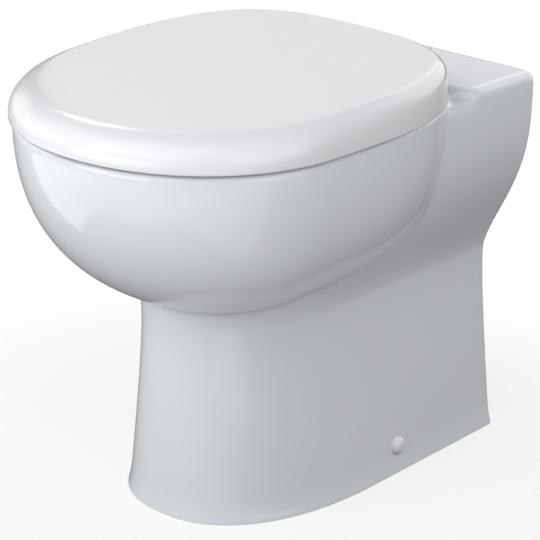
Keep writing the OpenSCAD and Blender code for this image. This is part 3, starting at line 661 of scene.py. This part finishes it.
def finish_skin(obj):
    """Merge stray points, turn every face outwards and smooth all but the real edges."""
    only(obj)
    bpy.ops.object.mode_set(mode="EDIT")
    bpy.ops.mesh.select_all(action="SELECT")
    bpy.ops.mesh.remove_doubles(threshold=1e-6)
    bpy.ops.mesh.normals_make_consistent(inside=False)
    bpy.ops.object.mode_set(mode="OBJECT")
    bpy.ops.object.shade_smooth_by_angle(angle=SMOOTH_ANGLE)


finish_skin(pan)
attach(pan, "pan")
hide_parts("pan")
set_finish(pan, "china")
print("pan:", sum(len(p.vertices) - 2 for p in pan.data.polygons), "triangles")

# %% [markdown]
# ## The lid
# The lid is moulded in thermoset plastic with an even wall. It wraps over the seat: a nearly flat top, a
# shoulder that is wide and soft in front, and a side that drops to a thin rounded edge just above the rim.
# The edge rises behind the hinges so that the lid can lean back. The skin is pulled in one go, from the
# middle of the inside, round the lower edge, to the middle of the outside.

# %% Draft the lid
LID_FRONT_H, LID_SLOPE = 32.4, 15 / 395
LID_T, LID_CROWN, LID_GAP = 4.5, 3, 2.2
FRONT_REACH, REAR_REACH, FRONT_DROP, REAR_DROP = 31, 15, 27, 20
SOFT_FROM, SOFT_OVER = -480, 260
SHOULDER_SHARE, EDGE_SHARE = 0.85, 0.12
LID_REAR_Y, LID_REAR_N, LID_REAR_EDGE, LID_EDGE_R = 95, 3.3, 6, 1.5
SKIRT_END, SKIRT_RISE = -119, 12
LID_STEPS = 216


def lid_top(x, y):
    long = LID_FRONT if y < CENTRE_Y else -LID_REAR_Y - CENTRE_Y
    crown = LID_CROWN * max(0, 1 - (2 * x / LID_W) ** 2 - ((y - CENTRE_Y) / long) ** 2)
    return RIM_H + LID_FRONT_H + LID_SLOPE * (y + REACH) + crown


def lid_low(y):
    return blend(RIM_H + LID_GAP, lid_top(0, y) - LID_REAR_EDGE, smooth((y - SKIRT_END) / SKIRT_RISE))


def lid_edge(t, inset):
    sizes = (LID_W / 2 - inset, LID_FRONT - inset, -LID_REAR_Y - CENTRE_Y - inset)
    return egg_point(t, *sizes, EGG_FRONT, LID_REAR_N, CENTRE_Y)


def shoulder(y, wall):
    """How far in and how far down the shoulder goes at y, on a skin that lies wall inside the outer one."""
    rear = smooth((y - SOFT_FROM) / SOFT_OVER)
    return blend(FRONT_REACH, REAR_REACH, rear) - wall, blend(FRONT_DROP, REAR_DROP, rear) - wall


def drawn_in(y, wall, depth):
    reach, drop = shoulder(y, wall)
    return 0 if depth >= drop else reach * (1 - math.sqrt(1 - (1 - depth / drop) ** 2))


def shoulder_ring(wall, a):
    points = []
    for t in around(LID_STEPS):
        x, y = lid_edge(t, 0)
        room = SHOULDER_SHARE * (lid_top(x, y) - wall - lid_low(y))
        depth = (1 - math.sin(a)) * min(shoulder(y, wall)[1], room)
        px, py = lid_edge(t, wall + drawn_in(y, wall, depth))
        points.append((px, py, lid_top(px, py) - wall - depth))
    return in_frame(points)


def edge_ring(inset, lift):
    """A ring on the rounded lower edge, lifted by a share of the edge's radius."""
    points = []
    for t in around(LID_STEPS):
        x, y = lid_edge(t, 0)
        full = lid_top(x, y) - lid_low(y)
        depth = full - lift * min(LID_EDGE_R, EDGE_SHARE * full)
        px, py = lid_edge(t, inset + drawn_in(y, 0, depth))
        points.append((px, py, lid_top(x, y) - depth))
    return in_frame(points)


def crown_ring(wall, share):
    points = []
    for t in around(LID_STEPS):
        ex, ey = lid_edge(t, shoulder(lid_edge(t, 0)[1], 0)[0])
        px, py = ex * share, blend(CENTRE_Y, ey, share)
        points.append((px, py, lid_top(px, py) - wall))
    return in_frame(points)


print("lid:", LID_W, "mm wide,", round(REACH - LID_REAR_Y), "mm long")

# %% Pull the lid and hang its lugs
LUG_R, LUG_W, AXIS_Y, AXIS_Z, BUSH_R = 7, 12, -113, 434, 4.56
LID_LUG_X, SEAT_LUG_X = 87.1, 55.9
LID_PADS = ((94.5, -441.4), (140.5, -271.7))
LID_PAD_R, BOSS_Z = 8, 426.5
CROWN_SHARES = (0.03, 0.15, 0.3, 0.45, 0.6, 0.75, 0.88)
HANGER_HALF, HANGER_TOPS = 6, (443.5, 444.5)
FIT, LUG_REACH, STUD_DEPTH = 0.02, 7, 6
LID_STUD_R, SEAT_STUD_R = 3, 4

rings = [crown_ring(LID_T, share) for share in CROWN_SHARES]
rings += [shoulder_ring(LID_T, math.radians(a)) for a in range(90, -1, -10)]
for i in range(9):
    a = math.radians(22.5 * i)
    rings.append(edge_ring(LID_T / 2 * (1 + math.cos(a)), 1 - math.sin(a)))
rings += [shoulder_ring(0, math.radians(a)) for a in range(0, 91, 6)]
rings += [crown_ring(0, share) for share in reversed(CROWN_SHARES)]
lid = pull_rings("lid_shell", rings)


def plate(name, outline, x, thick):
    """A flat shape drawn on the side plane as (y, z) points and pulled thick millimetres along X."""
    rings = [in_frame([(x + step, y, z) for y, z in outline]) for step in (0, thick)]
    return pull_rings(name, rings)


def arc(y, z, r, turns):
    """Points (y, z) on a circle of radius r, one for each angle of turns in degrees."""
    return [(y + r * math.cos(math.radians(a)), z + r * math.sin(math.radians(a))) for a in turns]


def hinge_and_buffer_holes(lug_x, pads, low, stud_r):
    """Tools for both sides: the bush's bore through each lug, and the holes for the buffers' studs."""
    tools = []
    for side in (-1, 1):
        x = side * (lug_x + LUG_W / 2)
        tools.append(rod((x - LUG_REACH, AXIS_Y, AXIS_Z), (x + LUG_REACH, AXIS_Y, AXIS_Z), BUSH_R + FIT))
        tools += [rod((side * px, py, low - 1), (side * px, py, low + STUD_DEPTH), stud_r + FIT)
                  for px, py in pads]
    return tools


eye = [(AXIS_Y + LUG_R * math.cos(a), AXIS_Z + LUG_R * math.sin(a)) for a in around(40)]
for side in (-1, 1):
    x = LID_LUG_X if side > 0 else -LID_LUG_X - LUG_W
    hanger = [(AXIS_Y - HANGER_HALF, AXIS_Z), (AXIS_Y + HANGER_HALF, AXIS_Z),
              (AXIS_Y + HANGER_HALF, HANGER_TOPS[0]), (AXIS_Y - HANGER_HALF, HANGER_TOPS[1])]
    cut(lid, [plate("lug_hanger", hanger, x, LUG_W)], "UNION")
    cut(lid, [plate("lug_eye", eye, x, LUG_W)], "UNION")
    for px, py in LID_PADS:
        cut(lid, [rod((side * px, py, BOSS_Z), (side * px, py, lid_top(px, py) - LID_T / 2), LID_PAD_R)], "UNION")
cut(lid, hinge_and_buffer_holes(LID_LUG_X, LID_PADS, BOSS_Z, LID_STUD_R))
finish_skin(lid)
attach(lid, "lid")
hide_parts("lid")
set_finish(lid, "seat_plastic")
print("lid:", sum(len(p.vertices) - 2 for p in lid.data.polygons), "triangles")

# %% [markdown]
# ## The seat
# The seat ring is a solid moulding with a rounded section, wider at the back, where two arms carry the
# hinge eyes. It is a closed loop, so the last ring of its section is bridged to the first.

# %% Pull the seat ring
SEAT_HALF, SEAT_FRONT, SEAT_REAR, SEAT_REAR_N = 178, 160.5, 185, 3.5
HOLE_HALF, HOLE_L, HOLE_N, HOLE_Y = 110, 122, 2.15, -323.5
SEAT_Z, SEAT_TOP, SEAT_ROUND, SEAT_FOOT_R = 406, 422, 6, 3
SEAT_PADS = ((82.8, -467.3), (147.0, -226.5))
SEAT_STEPS, ROUND_STEPS = 192, 5
ARM_ROOT = (-168, 414, 6)


def seat_ring_section(t):
    """The ring's section at t: up the outer side, over the top, down the inner side and back below."""
    ox, oy = egg_point(t, SEAT_HALF, SEAT_FRONT, SEAT_REAR, EGG_FRONT, SEAT_REAR_N, CENTRE_Y)
    ix, iy = egg_point(t, HOLE_HALF, HOLE_L, HOLE_L, HOLE_N, HOLE_N, HOLE_Y)
    wide = math.hypot(ix - ox, iy - oy)
    profile = []
    for cx, cz, r, start in ((SEAT_FOOT_R, SEAT_Z + SEAT_FOOT_R, SEAT_FOOT_R, 270),
                             (SEAT_ROUND, SEAT_TOP - SEAT_ROUND, SEAT_ROUND, 180),
                             (wide - SEAT_ROUND, SEAT_TOP - SEAT_ROUND, SEAT_ROUND, 90),
                             (wide - SEAT_FOOT_R, SEAT_Z + SEAT_FOOT_R, SEAT_FOOT_R, 0)):
        for i in range(ROUND_STEPS + 1):
            a = math.radians(start - 90 * i / ROUND_STEPS)
            profile.append((cx + r * math.cos(a), cz + r * math.sin(a)))
    return [(blend(ox, ix, p / wide), blend(oy, iy, p / wide), z) for p, z in profile]


sections = [seat_ring_section(t) for t in around(SEAT_STEPS)]
seat = pull_rings("seat_ring", [in_frame(section) for section in sections], joined=True)
for side in (-1, 1):
    x = SEAT_LUG_X if side > 0 else -SEAT_LUG_X - LUG_W
    arm = arc(AXIS_Y, AXIS_Z, LUG_R, range(-60, 121, 10)) + arc(*ARM_ROOT, range(120, 301, 15))
    cut(seat, [plate("seat_arm", arm, x, LUG_W)], "UNION")
cut(seat, hinge_and_buffer_holes(SEAT_LUG_X, SEAT_PADS, SEAT_Z, SEAT_STUD_R))
finish_skin(seat)
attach(seat, "seat")
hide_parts("seat")
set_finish(seat, "seat_plastic")
print("seat:", sum(len(p.vertices) - 2 for p in seat.data.polygons), "triangles")

# %% [markdown]
# ## The side caps
# Each side screw hides behind a small round cover. A cylinder gives its rim, its outer edge is bevelled
# into a dome, and the back is inset and pushed in to leave the hollow that clips over the screw's head.

# %% Model the caps
CAP_R, CAP_H, CAP_DOME = 9.75, 7.8, 7.2
HEAD_SPACE_R, HEAD_SPACE_H = 7.1, 4.2


def edge_loop_at(skin, z):
    """Select the edges that lie wholly at height z, in millimetres."""
    for edge in skin.edges:
        edge.select_set(all(abs(v.co.z - z * MM) < 1e-6 for v in edge.verts))


def model_cap(side):
    name = "cap_cover_right" if side > 0 else "cap_cover_left"
    bpy.ops.object.select_all(action="DESELECT")
    bpy.ops.mesh.primitive_cylinder_add(vertices=96, radius=CAP_R * MM, depth=CAP_H * MM)
    cap = bpy.context.object
    cap.name = cap.data.name = name
    bpy.ops.object.mode_set(mode="EDIT")
    bpy.ops.mesh.select_mode(type="FACE")
    bpy.ops.mesh.select_all(action="DESELECT")
    skin = bmesh.from_edit_mesh(cap.data)
    bottom = min(skin.faces, key=lambda f: f.calc_center_median().z)
    bottom.select_set(True)
    bpy.ops.mesh.inset(thickness=(CAP_R - HEAD_SPACE_R) * MM)
    bpy.ops.mesh.extrude_region_move(TRANSFORM_OT_translate={"value": (0, 0, HEAD_SPACE_H * MM)})
    bpy.ops.mesh.select_mode(type="EDGE")
    bpy.ops.mesh.select_all(action="DESELECT")
    edge_loop_at(bmesh.from_edit_mesh(cap.data), CAP_H / 2)
    bpy.ops.mesh.bevel(offset=CAP_DOME * MM, segments=10, profile=0.5, affect="EDGES")
    bpy.ops.mesh.select_mode(type="VERT")
    bpy.ops.mesh.select_all(action="SELECT")
    bpy.ops.mesh.normals_make_consistent(inside=False)
    bpy.ops.object.mode_set(mode="OBJECT")
    cap.rotation_euler = (0, side * math.pi / 2, 0)
    cap.location = (side * (SPOT_X + CAP_H / 2) * MM, WALL_Y - FIX_Y * MM, FIX_H * MM)
    bpy.ops.object.transform_apply(location=True, rotation=True, scale=True)
    bpy.ops.object.shade_smooth_by_angle(angle=SMOOTH_ANGLE)
    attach(cap, "pan")
    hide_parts("side_cap_right" if side > 0 else "side_cap_left")
    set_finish(cap, "cap_plastic")
    return cap


caps = [model_cap(side) for side in (-1, 1)]
print("caps:", [cap.name for cap in caps])

# %% [markdown]
# ## Edges of the small fittings
# The hinges, buffers, bushes, nuts and brackets already have their true shape in the frame. Real mouldings
# and castings have no knife edges, so each gets a narrow bevel as a modifier, which leaves its mesh alone.

# %% Soften the fittings
BEVELS = {"hinge_bracket": 0.9, "seat_buffer": 0.7, "lid_buffer": 0.6, "wing_nut": 0.6, "floor_bracket": 0.8,
          "cone_bush": 0.4, "hinge_pin": 0.4, "hinge_stud": 0.4, "side_screw": 0.4, "hinge_washer": 0.3}
BEVEL_STEPS, BEVEL_ANGLE = 3, math.radians(40)

softened = 0
for name, node in frame["nodes"].items():
    if node.hide_render:
        continue
    only(node)
    bpy.ops.object.shade_smooth_by_angle(angle=SMOOTH_ANGLE)
    width = next((w for start, w in BEVELS.items() if name.startswith(start)), None)
    if width:
        bevel = node.modifiers.new("soft_edges", "BEVEL")
        bevel.width = width * MM
        bevel.segments = BEVEL_STEPS
        bevel.limit_method = "ANGLE"
        bevel.angle_limit = BEVEL_ANGLE
        bevel.use_clamp_overlap = True
        softened += 1
print("softened:", softened, "fittings")

# %% [markdown]
# ## Surface character as node groups
# No real surface is one flat colour. Each group here takes the object's own coordinates, adds the small
# unevenness of that way of making, and gives out a colour, a roughness and a height for the bump. The
# shader itself stays in each material, so that an exporter finds its constants where it expects them.

# %% Helpers for nodes
def new_group(name, inputs, outputs):
    group = bpy.data.node_groups.new(name, "ShaderNodeTree")
    for label, kind, value in inputs:
        group.interface.new_socket(label, in_out="INPUT", socket_type=kind).default_value = value
    for label, kind in outputs:
        group.interface.new_socket(label, in_out="OUTPUT", socket_type=kind)
    return group, group.nodes.new("NodeGroupInput"), group.nodes.new("NodeGroupOutput")


def add(tree, kind, links=(), **settings):
    """A node with settings, whose inputs are then linked or set from (socket, source or value) pairs."""
    node = tree.nodes.new(kind)
    for name, value in settings.items():
        setattr(node, name, value)
    for socket, source in links:
        if isinstance(source, bpy.types.NodeSocket):
            tree.links.new(source, node.inputs[socket])
        else:
            node.inputs[socket].default_value = source
    return node


def noise(tree, where, scale, detail=2.0, roughness=0.5):
    return add(tree, "ShaderNodeTexNoise", [("Vector", where), ("Scale", scale), ("Detail", detail),
                                            ("Roughness", roughness)]).outputs["Fac"]


def ranged(tree, value, low, high, start=0.3, end=0.7):
    node = add(tree, "ShaderNodeMapRange", [("Value", value), ("From Min", start), ("From Max", end),
                                            ("To Min", low), ("To Max", high)])
    return node.outputs["Result"]


def mixed(tree, share, first, second):
    return add(tree, "ShaderNodeMix", [("Factor", share), (COLOUR_A, first), (COLOUR_B, second)],
               data_type="RGBA").outputs[COLOUR_OUT]


def maths(tree, operation, *values):
    """What a Math node makes of its inputs, each a socket or a number."""
    return add(tree, "ShaderNodeMath", list(enumerate(values)), operation=operation).outputs[0]


COLOUR, VALUE = "NodeSocketColor", "NodeSocketFloat"
LOOK = [("Color", COLOUR), ("Roughness", VALUE), ("Height", VALUE)]
print("node helpers ready")

# %% [markdown]
# ## Glazed china
# The glaze is a thin glass that settles while it is molten: its surface has a slow wave a few centimetres
# long and a much finer orange peel, and its white drifts very slightly. Under the foot the glaze is wiped
# off before firing, so the last millimetre or so above the floor shows bare biscuit, warmer and fully matt.

# %% Build the glaze
WIPED_FROM, WIPED_TO, WIPED_WANDER = 0.0002, 0.0009, 0.0012
GLOSS, BISCUIT_ROUGH = (0.07, 0.13), 0.6
DRIFT_SCALE, WAVE_SCALE, GLOSS_SCALE, EDGE_SCALE, PEEL_SCALE, GRIT_SCALE = 6.0, 22.0, 38.0, 120.0, 420.0, 1500.0
PEEL_SHARE = 0.05

group, given, result = new_group(
    "glaze_character",
    [("Glaze", COLOUR, (0.825, 0.85, 0.88, 1)), ("Drift", COLOUR, (0.805, 0.83, 0.865, 1)),
     ("Biscuit", COLOUR, (0.74, 0.71, 0.66, 1))],
    LOOK)
where = add(group, "ShaderNodeTexCoord").outputs["Object"]
drift = ranged(group, noise(group, where, DRIFT_SCALE), 0.0, 1.0)
white = mixed(group, drift, given.outputs["Glaze"], given.outputs["Drift"])
above = add(group, "ShaderNodeSeparateXYZ", [("Vector", where)]).outputs["Z"]
wander = maths(group, "MULTIPLY", noise(group, where, EDGE_SCALE), WIPED_WANDER)
bare = ranged(group, maths(group, "SUBTRACT", above, wander), 1.0, 0.0, WIPED_FROM, WIPED_TO)
group.links.new(mixed(group, bare, white, given.outputs["Biscuit"]), result.inputs["Color"])
gloss = ranged(group, noise(group, where, GLOSS_SCALE, 3.0), *GLOSS)
group.links.new(maths(group, "MULTIPLY_ADD", bare, BISCUIT_ROUGH, gloss), result.inputs["Roughness"])
wave = noise(group, where, WAVE_SCALE, 1.0)
peel = maths(group, "MULTIPLY_ADD", noise(group, where, PEEL_SCALE), PEEL_SHARE, wave)
grit = maths(group, "MULTIPLY", noise(group, where, GRIT_SCALE, 3.0), bare)
group.links.new(maths(group, "ADD", peel, grit), result.inputs["Height"])


def material(name, group_name, bump, settings, inputs=()):
    """A Principled material fed by a group. Constants are set on the shader's own sockets."""
    paint = bpy.data.materials.new(name)
    paint.use_nodes = True
    tree = paint.node_tree
    shader = tree.nodes["Principled BSDF"]
    look = add(tree, "ShaderNodeGroup", node_tree=bpy.data.node_groups[group_name])
    for label, value in inputs:
        look.inputs[label].default_value = value
    relief = add(tree, "ShaderNodeBump", [("Height", look.outputs["Height"]), ("Distance", bump),
                                          ("Strength", 1.0)])
    tree.links.new(look.outputs["Color"], shader.inputs["Base Color"])
    tree.links.new(look.outputs["Roughness"], shader.inputs["Roughness"])
    tree.links.new(relief.outputs["Normal"], shader.inputs["Normal"])
    for label, value in settings.items():
        shader.inputs[label].default_value = value
    return paint


china = material("glazed_china", "glaze_character", 0.00022, {"IOR": 1.52, "Specular IOR Level": 0.5})
print("material:", china.name)

# %% [markdown]
# ## Moulded plastic, rubber and metal
# The seat and lid are compression moulded and polished: a very fine waviness and faint flow clouds. Small
# fittings come from eroded moulds and have a fine matt grain. Rubber is matt with a dusty bloom. Chrome and
# steel are bright and differ in tone and polish. A noise stretched along one axis draws their fine scratches.

# %% Build the other groups
CLOUD_SCALE, FLOW_SCALE, PATCH_SCALE, TARNISH_SCALE = 9.0, 14.0, 55.0, 60.0

group, given, result = new_group(
    "moulded_character",
    [("Plastic", COLOUR, (0.87, 0.88, 0.905, 1)), ("Clouds", COLOUR, (0.855, 0.865, 0.89, 1)),
     ("Smoothest", VALUE, 0.16), ("Roughest", VALUE, 0.24), ("Grain Scale", VALUE, 300.0), ("Grain", VALUE, 0.05)],
    LOOK)
where = add(group, "ShaderNodeTexCoord").outputs["Object"]
clouds = ranged(group, noise(group, where, CLOUD_SCALE, 3.0), 0.0, 1.0)
group.links.new(mixed(group, clouds, given.outputs["Plastic"], given.outputs["Clouds"]), result.inputs["Color"])
rough = ranged(group, noise(group, where, PATCH_SCALE, 4.0), given.outputs["Smoothest"], given.outputs["Roughest"])
group.links.new(rough, result.inputs["Roughness"])
fine, slow = noise(group, where, given.outputs["Grain Scale"]), noise(group, where, FLOW_SCALE, 1.0)
group.links.new(maths(group, "MULTIPLY_ADD", fine, given.outputs["Grain"], slow), result.inputs["Height"])

group, given, result = new_group(
    "worked_metal_character",
    [("Metal", COLOUR, (0.78, 0.79, 0.81, 1)), ("Dull", COLOUR, (0.66, 0.67, 0.69, 1)),
     ("Smoothest", VALUE, 0.06), ("Roughest", VALUE, 0.2), ("Stretch", "NodeSocketVector", (40, 900, 900))],
    LOOK)
where = add(group, "ShaderNodeTexCoord").outputs["Object"]
drawn = add(group, "ShaderNodeVectorMath", [(0, where), (1, given.outputs["Stretch"])], operation="MULTIPLY")
scratch = noise(group, drawn.outputs["Vector"], 1.0, 3.0, 0.6)
tarnish = ranged(group, noise(group, where, TARNISH_SCALE, 3.0), 0.0, 1.0)
group.links.new(mixed(group, tarnish, given.outputs["Metal"], given.outputs["Dull"]), result.inputs["Color"])
rough = ranged(group, scratch, given.outputs["Smoothest"], given.outputs["Roughest"])
group.links.new(rough, result.inputs["Roughness"])
group.links.new(scratch, result.inputs["Height"])

MOULDED = "moulded_character"
METAL = "worked_metal_character"
seat_plastic = material("polished_seat_plastic", MOULDED, 0.00010, {"IOR": 1.5})
cap_plastic = material(
    "gloss_cap_plastic", MOULDED, 0.00003, {"IOR": 1.5},
    [("Plastic", (0.92, 0.93, 0.94, 1)), ("Clouds", (0.90, 0.91, 0.92, 1)), ("Smoothest", 0.14)])
fitting_plastic = material(
    "matt_fitting_plastic", MOULDED, 0.00008, {"IOR": 1.46},
    [("Plastic", (0.80, 0.80, 0.78, 1)), ("Clouds", (0.74, 0.74, 0.71, 1)), ("Smoothest", 0.42),
     ("Roughest", 0.58), ("Grain Scale", 1600.0), ("Grain", 0.6)])
bracket_plastic = material(
    "matt_bracket_plastic", MOULDED, 0.00010, {"IOR": 1.46},
    [("Plastic", (0.70, 0.71, 0.70, 1)), ("Clouds", (0.64, 0.65, 0.64, 1)), ("Smoothest", 0.48),
     ("Roughest", 0.65), ("Grain Scale", 1300.0), ("Grain", 0.8)])
buffer_rubber = material(
    "soft_buffer_rubber", MOULDED, 0.00008, {"IOR": 1.5, "Sheen Weight": 0.08},
    [("Plastic", (0.72, 0.72, 0.70, 1)), ("Clouds", (0.66, 0.66, 0.63, 1)), ("Smoothest", 0.58),
     ("Roughest", 0.75), ("Grain Scale", 1100.0), ("Grain", 0.7)])
dark_rubber = material(
    "dark_gasket_rubber", MOULDED, 0.00008, {"IOR": 1.5, "Sheen Weight": 0.12},
    [("Plastic", (0.045, 0.045, 0.047, 1)), ("Clouds", (0.075, 0.075, 0.072, 1)), ("Smoothest", 0.62),
     ("Roughest", 0.8), ("Grain Scale", 1100.0), ("Grain", 0.7)])
chrome = material("polished_hinge_chrome", METAL, 0.00001, {"Metallic": 1.0},
                  [("Smoothest", 0.05), ("Roughest", 0.13), ("Dull", (0.72, 0.73, 0.75, 1))])
steel = material("drawn_steel", METAL, 0.00002, {"Metallic": 1.0},
                 [("Metal", (0.64, 0.64, 0.65, 1)), ("Dull", (0.52, 0.52, 0.53, 1)), ("Smoothest", 0.2),
                  ("Roughest", 0.38)])
print("materials:", len(bpy.data.materials))

# %% Dress every piece
PAINTS = {
    "china": china, "seat_plastic": seat_plastic, "cap_plastic": cap_plastic,
    "fitting_plastic": fitting_plastic, "bracket_plastic": bracket_plastic,
    "buffer_rubber": buffer_rubber, "dark_rubber": dark_rubber, "hinge_metal": chrome, "steel": steel,
}


def dress(obj, paint):
    obj.data.materials.clear()
    obj.data.materials.append(paint)


for piece in [pan, lid, seat] + caps:
    dress(piece, PAINTS[piece["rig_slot"]])
slot_of = {part["node"]: part["material_slot"] for part in frame["record"]["subparts"]}
for name, node in frame["nodes"].items():
    dress(node, PAINTS[slot_of[name]])
print("dressed:", len(slot_of), "nodes")

# %% Import json
import json
